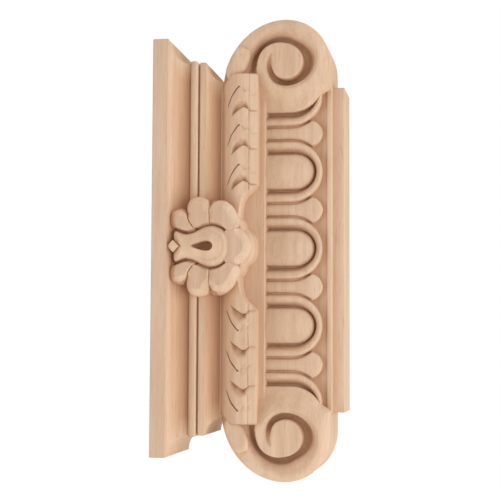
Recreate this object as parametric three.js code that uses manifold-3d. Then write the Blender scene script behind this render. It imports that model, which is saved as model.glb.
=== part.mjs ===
import * as THREE from 'three';
import { mergeVertices } from 'three/addons/utils/BufferGeometryUtils.js';
import Module from 'manifold-3d';

// Pilaster capital of the Ionic kind, carved from one block of pale wood.
// Millimetres. X runs along the front, Y into the wall, Z up. The flat back lies in Y = 0, and the
// origin is the middle of the back. Inside this file heights count from the underside of the neck,
// and a "depth" is a distance out from the back, so a point of depth d has y = -d.

// Courses, from the neck up
const neckHeight = 7.6;
const astragalHeight = 3.8;
const echinusHeight = 40.1;
const stripHeight = 3.8;
const garlandHeight = 25.3;
const lowerCavettoShown = 8.7;
const listelHeight = 3.9;
const quirkHeight = 1.2;
const beadHeight = 5.2;
const upperCavettoHeight = 12.4;
const fasciaHeight = 10;

// Neck, astragal and echinus
const neckWidth = 215;
const neckDepth = 35.8;
const astragalProjection = 4.2;
const echinusFieldDepth = 37.5;
const stripDepth = 45;

// Abacus
const abacusWidth = 272;
const abacusDepth = 72.7;
const upperCavettoInset = 14;
const beadProjection = 1.4;
const listelSetback = 1;
const quirkCut = 1.8;
const lowerCavettoRadius = 11;

// Egg and dart
const eggCount = 3;
const eggPitch = 51;
const eggWidth = 23.6;
const eggSink = 2.6;
const eggRelief = 7;
const eggRounding = 4.6;
const shellGap = 1.4;
const shellWidth = 7.1;
const shellNarrowing = 2.3;
const shellRelief = 6.8;
const shellFootDepth = 3.2;
const dartGap = 1.2;
const dartRelief = 5.5;
const dartRounding = 1.6;
const shellUndersideGap = 2.6;
const dartTipGap = 2.3;
const dartFlare = 0.63;

// Volutes
const eyeSpacing = 248.4;
const eyeHeight = 36.9;
const voluteDepth = 51;
const voluteRadius = 27.8;
const voluteEdge = 4.2;
const voluteShoulder = 17.2;
const voluteBelly = 1.1;
const voluteFlankFall = 7.2;
const voluteGrooveGap = 1.7;
const scrollDepth = 12;
const scrollStart = 140;
const scrollLevelAngle = 100;

// Garland
const garlandLength = 231;
const garlandRise = 9.4;
const garlandCrest = 0.41;
const leafPitch = 26;
const leafTipSetback = 22.3;
const leafScoop = 2.8;
const leafCut = 1.7;
const leafCutWidth = 1.5;
const leafSweep = 13.5;
const midribShare = 0.23;
const midribCut = 0.6;

// Buds on the volutes beyond the garland
const budLength = 24;
const budHeight = 12.4;
const budRelief = 2.8;
const budTilt = 24;
const budSquareness = 2.6;

// Rosette
const rosetteSetback = 1.2;
const plateDrop = 10.7;
const plateBorder = 1.4;
const tulipHeight = 36.5;
const tulipWidth = 27;
const tulipTopBelowFascia = 4.6;
const tulipRounding = 3.4;
const dropLength = 13.7;
const dropWidth = 6.8;
const dropCut = 7;
const petalFacetWidth = 4.4;
const petalFacetDrop = 2.4;
const petalSeamWidth = 0.9;
const petalSeamDrop = 1.5;
const tulipMoatWidth = 2.6;
const tulipMoatDepth = 4.6;
const calyxLength = 7.2;
const calyxWidth = 7.8;

// Fineness of the faceting
const arcSteps = 8;
const scrollSteps = 54;
const outlineSteps = 30;

const wood = new THREE.MeshStandardMaterial({
  name: 'wood',
  color: 0xdcb595,
  roughness: 0.62,
  metalness: 0,
});

// Heights of the courses
const astragalTop = neckHeight + astragalHeight;
const stripBottom = astragalTop + echinusHeight;
const garlandBottom = stripBottom + stripHeight;
const garlandTop = garlandBottom + garlandHeight;
const listelBottom = garlandTop + lowerCavettoShown;
const quirkBottom = listelBottom + listelHeight;
const beadBottom = quirkBottom + quirkHeight;
const beadTop = beadBottom + beadHeight;
const fasciaBottom = beadTop + upperCavettoHeight;
const capitalHeight = fasciaBottom + fasciaHeight;
const beadInset = upperCavettoInset - beadProjection;
const listelInset = beadInset + listelSetback;
const bedInset = listelInset + lowerCavettoRadius;
const bedDepth = abacusDepth - bedInset;
const tuckDepth = bedDepth - 8;
const rosetteDepth = abacusDepth - rosetteSetback;
const rosettePlateDepth = rosetteDepth - plateDrop;

const wasm = await Module();
wasm.setup();

// A closed geometry as a solid, wound so that its faces point out
function solid(geometry) {
  const bare = geometry.index ? geometry : geometry.clone();
  bare.deleteAttribute('normal');
  bare.deleteAttribute('uv');
  const merged = mergeVertices(bare, 1e-4);
  const vertProperties = new Float32Array(merged.attributes.position.array);
  const triVerts = dropFlatTriangles(merged.index.array);
  if (signedVolume(vertProperties, triVerts) < 0) {
    for (let i = 0; i < triVerts.length; i += 3) {
      [triVerts[i + 1], triVerts[i + 2]] = [triVerts[i + 2], triVerts[i + 1]];
    }
  }
  return new wasm.Manifold(new wasm.Mesh({ numProp: 3, vertProperties, triVerts }));
}

// Triangles that lost a side when their corners were merged
function dropFlatTriangles(index) {
  const kept = [];
  for (let i = 0; i < index.length; i += 3) {
    const [a, b, c] = [index[i], index[i + 1], index[i + 2]];
    if (a !== b && b !== c && c !== a) kept.push(a, b, c);
  }
  return new Uint32Array(kept);
}

function signedVolume(points, index) {
  const [a, b, c] = [new THREE.Vector3(), new THREE.Vector3(), new THREE.Vector3()];
  let volume = 0;
  for (let i = 0; i < index.length; i += 3) {
    a.fromArray(points, 3 * index[i]);
    b.fromArray(points, 3 * index[i + 1]);
    c.fromArray(points, 3 * index[i + 2]);
    volume += a.dot(b.cross(c)) / 6;
  }
  return volume;
}

function join(solids) {
  return solids.reduce((whole, next) => whole.add(next));
}

// The same geometry on the other side of the middle
function mirrored(geometry) {
  return geometry.clone().scale(-1, 1, 1);
}

function bothSides(geometry) {
  return [solid(geometry), solid(mirrored(geometry))];
}

// A point of the front, from its place along the front, its height and its depth
function at(x, z, depth) {
  return new THREE.Vector3(x, -depth, z);
}

// A skin over rings of as many points each, capped at both ends, at the last round a middle if given
function loft(rings, middle) {
  const count = rings[0].length;
  const positions = rings.flat().flatMap((p) => p.toArray());
  const index = [];
  for (let r = 0; r + 1 < rings.length; r++) {
    for (let i = 0; i < count; i++) {
      const j = (i + 1) % count;
      const [a, b] = [r * count + i, r * count + j];
      index.push(a, b, b + count, a, b + count, a + count);
    }
  }
  const last = (rings.length - 1) * count;
  for (const [a, b, c] of cap(rings[0])) index.push(a, c, b);
  if (middle) {
    const centre = positions.length / 3;
    positions.push(...middle.toArray());
    for (let i = 0; i < count; i++) index.push(last + i, last + ((i + 1) % count), centre);
  } else {
    for (const [a, b, c] of cap(rings.at(-1))) index.push(last + a, last + b, last + c);
  }
  const geometry = new THREE.BufferGeometry();
  geometry.setAttribute('position', new THREE.Float32BufferAttribute(positions, 3));
  geometry.setIndex(index);
  return geometry;
}

// Triangles over one flat ring, wound as the ring runs
function cap(ring) {
  const normal = new THREE.Vector3();
  ring.forEach((p, i) => normal.add(p.clone().cross(ring[(i + 1) % ring.length])));
  normal.normalize();
  const side = ring[1].clone().sub(ring[0]).projectOnPlane(normal).normalize();
  const up = normal.clone().cross(side);
  const flat = ring.map((p) => new THREE.Vector2(p.dot(side), p.dot(up)));
  return THREE.ShapeUtils.triangulateShape(flat, []);
}

// An upright outline carried out from the back to a depth, its front edge rounded towards a spine,
// which is an upright line inside it, and its front closed round the middle of that line
function carved(shape, spine, depth, width, drop, turns = 3) {
  const outline = openLoop(shape.getPoints(arcSteps));
  const inset = (p, by) => {
    const near = new THREE.Vector2(spine.x, THREE.MathUtils.clamp(p.y, spine.low, spine.high));
    const away = p.clone().sub(near);
    return near.add(away.multiplyScalar(1 - by / away.length()));
  };
  const ring = (by, out) => outline.map((p) => inset(p, by)).map((p) => at(p.x, p.y, out));
  const rings = [ring(0, -drop)];
  for (const turn of steps(turns, 0, Math.PI / 2)) {
    rings.push(ring(width * (1 - Math.cos(turn)), depth - drop * (1 - Math.sin(turn))));
  }
  return loft(rings, at(spine.x, (spine.low + spine.high) / 2, depth));
}

// The points of a closed outline without the repeats where it closes and where its pieces meet
function openLoop(points) {
  return points.filter((p, i) => p.distanceTo(points[(i + 1) % points.length]) > 1e-4);
}

function steps(count, from = 0, to = 1) {
  return Array.from({ length: count + 1 }, (_, i) => from + ((to - from) * i) / count);
}

function polar(radius, angle) {
  return [radius * Math.cos(angle), radius * Math.sin(angle)];
}

const radians = THREE.MathUtils.degToRad;

// Abacus, with its mouldings returned along both ends, and the bed behind the garland
function abacus() {
  const profile = [
    [0, capitalHeight],
    [0, fasciaBottom],
  ];
  for (const turn of steps(arcSteps, 0, Math.PI / 2)) {
    const inset = upperCavettoInset * Math.sin(turn);
    if (inset > 0) profile.push([inset, fasciaBottom - upperCavettoHeight * (1 - Math.cos(turn))]);
  }
  for (const turn of steps(arcSteps / 2, Math.PI / 8, (7 * Math.PI) / 8)) {
    const out = beadProjection * Math.sin(turn);
    profile.push([upperCavettoInset - out, (beadTop + beadBottom + beadHeight * Math.cos(turn)) / 2]);
  }
  profile.push([listelInset + quirkCut, beadBottom]);
  profile.push([listelInset + quirkCut, quirkBottom]);
  profile.push([listelInset, quirkBottom]);
  profile.push([listelInset, listelBottom]);
  for (const turn of steps(arcSteps / 2, 0, Math.PI / 2).slice(1)) {
    const inset = listelInset + lowerCavettoRadius * Math.sin(turn);
    profile.push([inset, listelBottom - lowerCavettoRadius * (1 - Math.cos(turn))]);
  }
  profile.push([abacusDepth - stripDepth, garlandBottom]);
  const rings = profile.map(([inset, z]) => {
    const half = abacusWidth / 2 - inset;
    const depth = abacusDepth - inset;
    return [at(-half, z, 0), at(-half, z, depth), at(half, z, depth), at(half, z, 0)];
  });
  return solid(loft(rings));
}

// Neck, astragal, field of the echinus and the strip above it, one profile along the front
function neckAndEchinus() {
  const astragalDepth = neckDepth + astragalProjection;
  const round = astragalHeight / 2;
  const profile = [
    [0, 0],
    [neckDepth, 0],
    [neckDepth, neckHeight],
  ];
  for (const turn of steps(arcSteps / 2, -Math.PI / 2, Math.PI / 2)) {
    const [out, up] = polar(round, turn);
    profile.push([astragalDepth - round + out, neckHeight + round + up]);
  }
  profile.push([echinusFieldDepth, astragalTop + shellUndersideGap / 2]);
  profile.push([echinusFieldDepth, stripBottom]);
  profile.push([stripDepth, stripBottom]);
  profile.push([stripDepth, garlandBottom]);
  profile.push([0, garlandBottom]);
  const half = neckWidth / 2;
  return solid(loft([-half, half].map((x) => profile.map(([depth, z]) => at(x, z, depth)))));
}

// Egg and dart: the middles of the round bottoms of the eggs and their shells
const eggRadius = eggWidth / 2;
const shellInner = eggRadius + shellGap;
const shellOuter = shellInner + shellWidth;
const eggCentre = astragalTop + shellUndersideGap + shellOuter;
const hiddenTop = garlandBottom + eggRounding;

// The place of the egg whose outer half the volute covers
const lastEgg = ((eggCount + 1) / 2) * eggPitch;

function eggPlaces() {
  const half = (eggCount - 1) / 2;
  return Array.from({ length: eggCount }, (_, i) => (i - half) * eggPitch);
}

function egg(x) {
  const shape = new THREE.Shape();
  shape.moveTo(x + eggRadius, hiddenTop);
  shape.lineTo(x - eggRadius, hiddenTop);
  shape.lineTo(x - eggRadius, eggCentre - eggSink);
  shape.absarc(x, eggCentre - eggSink, eggRadius, Math.PI, 2 * Math.PI, false);
  shape.lineTo(x + eggRadius, hiddenTop);
  const spine = { x, low: eggCentre - eggSink, high: hiddenTop };
  return solid(carved(shape, spine, echinusFieldDepth + eggRelief, eggRounding, eggRounding / 2));
}

// A shell runs down the left side of its egg, round below it, narrowing there, and up the other side
// unless it ends before that
function shell(x, end = 2 * Math.PI) {
  const foot = echinusFieldDepth + shellFootDepth;
  const crest = echinusFieldDepth + shellRelief;
  const section = (turn) => {
    const inner = shellInner + shellNarrowing * Math.sin(turn) ** 2;
    const across = (share) => THREE.MathUtils.lerp(inner, shellOuter, share);
    return [
      [inner, echinusFieldDepth - 1],
      [inner, echinusFieldDepth + 1],
      [across(0.5), crest - 1],
      [across(0.75), crest],
      [shellOuter, foot],
      [shellOuter, echinusFieldDepth - 1],
    ];
  };
  const rings = [section(0).map(([r, depth]) => at(x - r, hiddenTop, depth))];
  for (const turn of steps(arcSteps + 2, Math.PI, end)) {
    rings.push(section(turn).map(([r, depth]) => {
      const [dx, dz] = polar(r, turn);
      return at(x + dx, eggCentre + dz, depth);
    }));
  }
  if (end === 2 * Math.PI) rings.push(section(0).map(([r, depth]) => at(x + r, hiddenTop, depth)));
  return loft(rings);
}

// A dart fills the room between two shells and ends in a rounded point
function dart(x) {
  const reach = shellOuter + dartGap;
  const flare = dartFlare * reach;
  const tip = astragalTop + dartTipGap;
  const sideAt = (drop) => eggPitch / 2 - Math.sqrt(reach * reach - drop * drop);
  const side = steps(5).map((t) => new THREE.Vector2(sideAt(t * flare), eggCentre - t * flare));
  const right = [new THREE.Vector2(sideAt(0), hiddenTop), ...side];
  const wide = side.at(-1);
  const shape = new THREE.Shape();
  shape.moveTo(x + right[0].x, right[0].y);
  right.slice(1).forEach((p) => shape.lineTo(x + p.x, p.y));
  shape.quadraticCurveTo(x + 0.75 * wide.x, tip + 0.15 * (wide.y - tip), x, tip);
  shape.quadraticCurveTo(x - 0.75 * wide.x, tip + 0.15 * (wide.y - tip), x - wide.x, wide.y);
  right.slice(0, -1).reverse().forEach((p) => shape.lineTo(x - p.x, p.y));
  const spine = { x, low: eggCentre - flare, high: eggCentre };
  return solid(carved(shape, spine, echinusFieldDepth + dartRelief, dartRounding, dartRounding, 2));
}

function eggAndDart() {
  const places = eggPlaces();
  const shells = places.map((x) => solid(shell(x)));
  const halfShells = bothSides(shell(lastEgg, 1.62 * Math.PI));
  const darts = [-lastEgg, ...places].map((x) => dart(x + eggPitch / 2));
  return join([...places.map(egg), ...shells, ...halfShells, ...darts]);
}

// Volute on the right; angles about its eye are in degrees, counted from +X towards the top
const eyeX = eyeSpacing / 2;
const shoulderAngle = 107;
const bellyAngle = -95;
const slimAngle = -40;

function outlineRadius(angle) {
  const above = Math.max(0, angle - slimAngle) / (shoulderAngle - slimAngle);
  const below = Math.max(0, slimAngle - angle) / (slimAngle - bellyAngle);
  return voluteRadius + voluteShoulder * above ** 3 + voluteBelly * below ** 2;
}

function aboutEye(radius, angle) {
  const [dx, dz] = polar(radius, radians(angle));
  return [eyeX + dx, eyeHeight + dz];
}

// The volute swells into the place of the last half egg, beside its shell
function voluteShape() {
  const shape = new THREE.Shape();
  const outline = steps(outlineSteps, bellyAngle, shoulderAngle);
  outline.forEach((angle, i) => {
    const [x, z] = aboutEye(outlineRadius(angle), angle);
    if (i === 0) shape.moveTo(x, z);
    else shape.lineTo(x, z);
  });
  shape.lineTo(lastEgg, garlandTop - 2);
  const groove = shellInner - voluteGrooveGap;
  shape.lineTo(lastEgg - groove, garlandBottom + 4);
  for (const t of steps(arcSteps)) {
    const radius = groove + (shellOuter - groove - 0.8) * t ** 2.2;
    const [dx, dz] = polar(radius, Math.PI * (1 + t / 2));
    shape.lineTo(lastEgg + dx, eggCentre + dz);
  }
  shape.lineTo(lastEgg + 4, eyeHeight - voluteRadius - voluteBelly);
  return shape;
}

// A bump of height one about a middle angle, fading over a spread
function bump(angle, middle, spread, power = 2) {
  const off = ((((angle - middle) % 360) + 540) % 360) - 180;
  return Math.exp(-(Math.abs(off / spread) ** power));
}

// Depth of the volute's uncut front; its flank falls towards the half shell and the strip
function voluteFace(radius, angle) {
  const away = THREE.MathUtils.smoothstep(radius, 0.54 * voluteRadius, 1.26 * voluteRadius);
  return voluteDepth - voluteFlankFall * bump(angle, 168, 48) * away;
}

// The scroll's run: degrees turned, then as shares of the volute's radius its inner wall, the end of
// its floor and its rim, then as shares of its greatest depth the floor and the shelf beyond it
const scrollRun = [
  [0, 0.74, 0.88, 1.05, 0.4, 0.32],
  [40, 0.74, 0.88, 1.04, 0.66, 0.37],
  [75, 0.63, 0.77, 0.98, 1, 0.42],
  [110, 0.5, 0.67, 0.91, 1, 0.41],
  [150, 0.405, 0.575, 0.875, 0.95, 0.4],
  [200, 0.385, 0.585, 0.82, 0.79, 0.43],
  [250, 0.4, 0.635, 0.77, 0.83, 0.36],
  [300, 0.435, 0.6, 0.725, 0.87, 0.21],
  [350, 0.435, 0.595, 0.685, 0.83, 0.15],
  [390, 0.38, 0.505, 0.62, 0.4, 0.13],
  [436, 0.365, 0.41, 0.47, 0.04, 0.02],
];
const scrollTurn = scrollRun.at(-1)[0];
const scrollCurve = new THREE.CubicInterpolant(
  scrollRun.map(([turned]) => turned),
  scrollRun.flatMap(([, ...shares]) => shares),
  5,
);

// How far the scroll's cutter stands off the face at the wall and at the rim
const scrollLip = 0.3;

// The scroll starts level under the garland and then turns inwards
function scrollCutter() {
  const rings = steps(scrollSteps, 0, scrollTurn).map((turned) => {
    const angle = scrollStart - turned;
    const level = angle > scrollLevelAngle ? 1 / Math.sin(radians(angle)) : 1;
    const [wall, floor, rim, deep, shelf] = [...scrollCurve.evaluate(turned)].map(
      (share, i) => share * (i < 3 ? voluteRadius * level : scrollDepth),
    );
    const point = (radius, down) => {
      const [x, z] = aboutEye(radius, angle);
      return at(x, z, voluteFace(radius, angle) - down);
    };
    const across = (share) => THREE.MathUtils.lerp(wall, floor, share);
    return [
      point(wall, -scrollLip),
      point(across(0.1), 0.9 * deep),
      point(across(0.4), deep),
      point(across(0.75), 0.9 * deep),
      point(floor, shelf),
      point((floor + rim) / 2, 0.35 * shelf),
      point(rim, -scrollLip),
      point(rim, -scrollDepth / 4),
      point(wall, -scrollDepth / 4),
    ];
  });
  return loft(rings);
}

// A low leaf with blunt ends on the volute's shoulder
function bud() {
  const [x, z] = [garlandLength / 2 + 0.35 * budLength, garlandTop - 0.88 * budHeight];
  const square = (value) => Math.sign(value) * Math.abs(value) ** (2 / budSquareness);
  const ring = (share, depth) => steps(2 * arcSteps, 0, 2 * Math.PI).slice(1).map((turn) => {
    const [along, up] = polar(1, turn).map((value) => square(value) * share);
    const place = new THREE.Vector2((along * budLength) / 2, (up * budHeight) / 2);
    place.rotateAround(new THREE.Vector2(), -radians(budTilt));
    return at(x + place.x, z + place.y, depth);
  });
  const front = voluteDepth + budRelief;
  return loft(
    [ring(1, voluteDepth - scrollDepth / 2), ring(1, front - 0.6 * budRelief), ring(0.8, front)],
    at(x, z, front),
  );
}

// The volute's edge is rounded, thinner beside the half shell and softest underneath
function voluteBody() {
  const outline = openLoop(voluteShape().getPoints(arcSteps)).map((p) => {
    const away = p.sub(new THREE.Vector2(eyeX, eyeHeight));
    const [radius, angle] = [away.length(), away.angle() * THREE.MathUtils.RAD2DEG];
    const edge = voluteEdge * (1 - 0.66 * bump(angle, 180, 32, 4) + 1.2 * bump(angle, 268, 34));
    return { radius, angle, edge };
  });
  const ring = (insetOf, sinkOf) => outline.map(({ radius, angle, edge }) => {
    const inner = radius - insetOf(edge, radius);
    return at(...aboutEye(inner, angle), voluteFace(inner, angle) - sinkOf(edge));
  });
  const rings = [outline.map(({ radius, angle }) => at(...aboutEye(radius, angle), 0))];
  for (const turn of steps(3, 0, Math.PI / 2)) {
    rings.push(ring((edge) => edge * (1 - Math.cos(turn)), (edge) => edge * (1 - Math.sin(turn))));
  }
  for (const share of [0.3, 0.55]) {
    rings.push(ring((edge, radius) => Math.max(edge, share * radius), () => 0));
  }
  return loft(rings, at(eyeX, eyeHeight, voluteDepth));
}

function volutes() {
  const bodies = join(bothSides(voluteBody())).subtract(join(bothSides(scrollCutter())));
  return join([bodies, ...bothSides(bud())]);
}

// Garland: a half round bar of overlapping leaves whose edges sweep outwards and down
function leafLean(up) {
  const top = Math.max(0, up - 0.5) / 0.5;
  const low = Math.max(0, 0.38 - up) / 0.38;
  return -leafSweep * top ** 1.5 - 0.32 * leafSweep * Math.min(1, 1.6 * low);
}

function garlandStations() {
  const half = garlandLength / 2;
  const first = half - leafTipSetback - 3 * leafPitch;
  const stations = [];
  for (let leaf = 0; leaf < 4; leaf++) {
    const start = first + leaf * leafPitch;
    const cut = start + leafPitch / 2;
    stations.push([start + 0.3, -leafScoop]);
    stations.push([start + leafPitch / 4, -0.35 * leafScoop]);
    stations.push([cut - leafCutWidth / 2, 0]);
    stations.push([cut, -leafCut]);
    stations.push([cut + leafCutWidth / 2, 0]);
    if (leaf < 3) {
      stations.push([start + 0.75 * leafPitch, 0.1 * leafScoop]);
      stations.push([start + leafPitch - 0.3, 0.2 * leafScoop]);
    }
  }
  stations.push([half, 0]);
  return stations;
}

function garlandHalf() {
  const half = garlandLength / 2;
  const lastCut = half - leafTipSetback + leafPitch / 2 + leafCutWidth;
  const crest = garlandBottom + garlandCrest * garlandHeight;
  const midrib = garlandBottom + midribShare * garlandHeight;
  const turns = steps(arcSteps + 2, -Math.PI / 2, Math.PI / 2);
  const rings = garlandStations().map(([station, lift]) => {
    const straighten = Math.max(0, (station - lastCut) / (half - lastCut));
    const openness = Math.max(0, 1 - station / 40) ** 1.5;
    const ring = turns.map((turn) => {
      const reach = Math.sin(turn) > 0 ? garlandTop - crest : crest - garlandBottom;
      const z0 = crest + reach * Math.sin(turn);
      const z = garlandTop - (garlandTop - z0) * (1 - 1.4 * openness);
      const up = (z0 - garlandBottom) / garlandHeight;
      const out = Math.cos(turn);
      const rib = Math.abs(z0 - midrib) < 1.2 ? midribCut : 0;
      const x = station + leafLean(up) * (1 - straighten);
      return at(x, z, bedDepth - 1 + (garlandRise + 1 + lift) * out - rib);
    });
    const back = bedDepth - 3;
    const [low, high] = [ring[0], ring.at(-1)];
    return [...ring, at(high.x, high.z, back), at(low.x, low.z, back)];
  });
  return loft(rings);
}

// Rosette: a tulip in a wreath of seven petals, on a scalloped plate. Its forms are drawn in shares of
// the tulip's height, from the tulip's foot up
const tulipTop = fasciaBottom - tulipTopBelowFascia;
const tulipFoot = tulipTop - tulipHeight;

// The tulip's right side, from its notch round to its foot
const tulipSide = [
  [0, 0.97], [0.1, 1.02], [0.21, 1.03], [0.285, 1], [0.245, 0.87], [0.23, 0.79], [0.245, 0.7],
  [0.29, 0.59], [0.35, 0.48], [0.37, 0.37], [0.355, 0.255], [0.3, 0.14], [0.21, 0.055], [0, 0],
];
const tulipSideScale = tulipWidth / 2 / Math.max(...tulipSide.map(([wide]) => wide));

// Petals on the right side and the one at the foot: middle, outline, and set back from the front
const petalForms = [
  {
    middle: [0, -0.09],
    setback: 4.1,
    outline: [
      [0.34, 0.02], [0.33, -0.11], [0.26, -0.23], [0.14, -0.32], [0, -0.35], [-0.14, -0.32],
      [-0.26, -0.23], [-0.33, -0.11], [-0.34, 0.02], [-0.2, 0.15], [0.2, 0.15],
    ],
  },
  {
    middle: [0.51, 0.16],
    setback: 3.5,
    outline: [
      [0.27, 0.38], [0.68, 0.39], [0.77, 0.34], [0.82, 0.24], [0.81, 0.11], [0.73, 0],
      [0.6, -0.08], [0.47, -0.15], [0.37, -0.14], [0.29, -0.04], [0.21, 0.1],
    ],
  },
  {
    middle: [0.56, 0.59],
    setback: 2.3,
    outline: [
      [0.38, 0.38], [0.26, 0.45], [0.26, 0.63], [0.48, 0.77], [0.6, 0.8], [0.72, 0.79],
      [0.84, 0.73], [0.89, 0.63], [0.88, 0.52], [0.83, 0.43], [0.74, 0.39],
    ],
  },
  {
    middle: [0.43, 0.9],
    setback: 1.5,
    outline: [
      [0.26, 0.59], [0.2, 0.72], [0.2, 0.9], [0.22, 1.02], [0.34, 1.08], [0.49, 1.1],
      [0.62, 1.06], [0.67, 0.96], [0.67, 0.86], [0.61, 0.79], [0.49, 0.77], [0.37, 0.69],
    ],
  },
];
const wreathMiddle = new THREE.Vector2(0, tulipFoot + 0.41 * tulipHeight);

// Points in the wreath's shares, placed and joined by a smooth closed curve
function inWreath([x, up]) {
  return new THREE.Vector2(x * tulipHeight, tulipFoot + up * tulipHeight);
}

function smoothRound(points, count) {
  const corners = points.map(([x, up]) => new THREE.Vector3(...inWreath([x, up]), 0));
  const curve = new THREE.CatmullRomCurve3(corners, true);
  return openLoop(curve.getSpacedPoints(count).map((p) => new THREE.Vector2(p.x, p.y)));
}

// A piece under an outline: rings inset from it and their depths, closed by a middle point or a flat
function lidded(outline, middle, levels, top) {
  const rings = levels.map(([inset, depthAt]) => outline.map((p) => {
    const away = p.clone().sub(middle);
    const spot = middle.clone().addScaledVector(away, 1 - inset / away.length());
    return at(spot.x, spot.y, depthAt(spot, away));
  }));
  return top ? loft(rings, at(middle.x, middle.y, top)) : loft(rings);
}

// Half the tulip's width at a height below its lip
function tulipHalf(z) {
  const up = (z - tulipFoot) / tulipHeight;
  const side = tulipSide.slice(3);
  const below = side.findIndex(([, height]) => height <= up);
  if (below < 0) return 0;
  if (below === 0) return tulipSideScale * side[0][0];
  const [[wide, high], [wideBelow, low]] = [side[below - 1], side[below]];
  return tulipSideScale * THREE.MathUtils.mapLinear(up, low, high, wideBelow, wide);
}

// A flat petal with a sloping facet along the wreath's outside, sinking beside the tulip
function petalPiece({ middle, outline, setback }) {
  const centre = inWreath(middle);
  const depth = rosetteDepth - setback;
  const outwards = centre.clone().sub(wreathMiddle).normalize();
  const moat = (spot) => {
    const beside = Math.abs(spot.x) - tulipHalf(spot.y);
    const share = centre.x === 0 ? 0 : 1 - THREE.MathUtils.smoothstep(beside, 0, tulipMoatWidth);
    return tulipMoatDepth * share;
  };
  const facet = (away) => petalFacetDrop * THREE.MathUtils.smoothstep(
    away.clone().normalize().dot(outwards), 0.1, 0.5,
  );
  return lidded(smoothRound(outline, 3 * arcSteps), centre, [
    [0, () => tuckDepth],
    [0, (spot, away) => depth - petalSeamDrop - facet(away) - moat(spot)],
    [petalSeamWidth, (spot, away) => depth - facet(away) - moat(spot)],
    [petalFacetWidth, (spot) => depth - moat(spot)],
  ], depth);
}

function platePiece({ middle, outline }) {
  return lidded(smoothRound(outline, 2 * arcSteps), inWreath(middle), [
    [-plateBorder - 0.8, () => tuckDepth],
    [-plateBorder, () => rosettePlateDepth - 3],
    [0, () => rosettePlateDepth],
  ]);
}

function tulip() {
  const half = tulipSide.map(([wide, up]) => [wide * tulipSideScale, tulipFoot + up * tulipHeight]);
  const whole = [...half, ...half.slice(1, -1).reverse().map(([x, z]) => [-x, z])];
  const curve = new THREE.CatmullRomCurve3(whole.map(([x, z]) => new THREE.Vector3(x, z, 0)), true);
  const shape = new THREE.Shape(
    curve.getSpacedPoints(5 * arcSteps).map((p) => new THREE.Vector2(p.x, p.y)),
  );
  const spine = { x: 0, low: tulipFoot + tulipWidth / 2, high: tulipTop - tulipWidth / 4 };
  return solid(carved(shape, spine, rosetteDepth, tulipRounding, tulipRounding, 3));
}

function dropShape() {
  const low = tulipTop - 0.7 * tulipHeight;
  const round = dropWidth / 2;
  const shape = new THREE.Shape();
  shape.moveTo(0, low + dropLength);
  shape.quadraticCurveTo(-0.35 * round, low + 0.72 * dropLength, -round, low + round);
  shape.absarc(0, low + round, round, Math.PI, 2 * Math.PI, false);
  shape.quadraticCurveTo(0.35 * round, low + 0.72 * dropLength, 0, low + dropLength);
  return shape;
}

function tulipDrop() {
  const cutter = new THREE.ExtrudeGeometry(dropShape(), {
    depth: dropCut + 2,
    bevelEnabled: false,
    curveSegments: arcSteps,
  });
  return solid(cutter.rotateX(Math.PI / 2).translate(0, dropCut - abacusDepth, 0));
}

// A small pointed leaf over the notch at the tulip's top
function calyx() {
  const middle = tulipTop + 0.02 * tulipHeight;
  const ring = (share, depth) => [
    at(0, middle + share * calyxLength * 0.42, depth),
    at(-share * calyxWidth / 2, middle, depth),
    at(0, middle - share * calyxLength * 0.58, depth),
    at(share * calyxWidth / 2, middle, depth),
  ];
  return solid(loft([ring(1, bedDepth), ring(1, abacusDepth - 2), ring(0.4, abacusDepth - 0.6)]));
}

function rosette() {
  const [foot, ...sides] = petalForms;
  const petals = [solid(petalPiece(foot)), ...sides.flatMap((form) => bothSides(petalPiece(form)))];
  const plate = [solid(platePiece(foot)), ...bothSides(platePiece(sides[0]))];
  return join([...plate, ...petals, tulip()]).subtract(tulipDrop()).add(calyx());
}

// Everything behind the back plane is cut away
function wall() {
  const thickness = 40;
  const box = new THREE.BoxGeometry(2 * abacusWidth, thickness, 3 * capitalHeight);
  return solid(box.translate(0, thickness / 2, capitalHeight / 2));
}

function capitalGeometry() {
  const whole = join([
    abacus(),
    neckAndEchinus(),
    eggAndDart(),
    volutes(),
    ...bothSides(garlandHalf()),
    rosette(),
  ]).subtract(wall());
  const mesh = whole.getMesh();
  const geometry = new THREE.BufferGeometry();
  geometry.setAttribute('position', new THREE.BufferAttribute(mesh.vertProperties, 3));
  geometry.setIndex(new THREE.BufferAttribute(mesh.triVerts, 1));
  const faceted = geometry.toNonIndexed();
  faceted.computeVertexNormals();
  return faceted;
}

const capital = new THREE.Mesh(capitalGeometry(), wood);
capital.name = 'capital';
capital.position.z = -capitalHeight / 2;

const group = new THREE.Group();
group.add(capital);

export default group;
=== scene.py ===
import math

import bmesh
import bpy
import numpy as np
from mathutils import Matrix, Vector


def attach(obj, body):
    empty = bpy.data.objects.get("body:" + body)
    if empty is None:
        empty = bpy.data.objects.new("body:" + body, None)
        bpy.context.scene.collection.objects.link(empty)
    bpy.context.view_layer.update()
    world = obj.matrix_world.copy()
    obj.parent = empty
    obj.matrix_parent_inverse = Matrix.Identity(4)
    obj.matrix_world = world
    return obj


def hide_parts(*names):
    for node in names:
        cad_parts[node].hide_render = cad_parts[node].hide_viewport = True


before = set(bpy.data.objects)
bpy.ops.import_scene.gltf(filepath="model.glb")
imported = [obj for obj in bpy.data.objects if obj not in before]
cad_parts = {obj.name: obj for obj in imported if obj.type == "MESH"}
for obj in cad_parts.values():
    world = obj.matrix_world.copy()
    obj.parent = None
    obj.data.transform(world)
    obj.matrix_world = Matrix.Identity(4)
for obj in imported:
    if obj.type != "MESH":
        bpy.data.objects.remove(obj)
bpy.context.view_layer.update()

# Pilaster capital carved from one block of pale wood.
# Forms are made in millimetres as points (x, z, depth): x along the front, z up from the underside
# of the neck, depth out from the flat back. They become metres in the frame's axes at the end.

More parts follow.
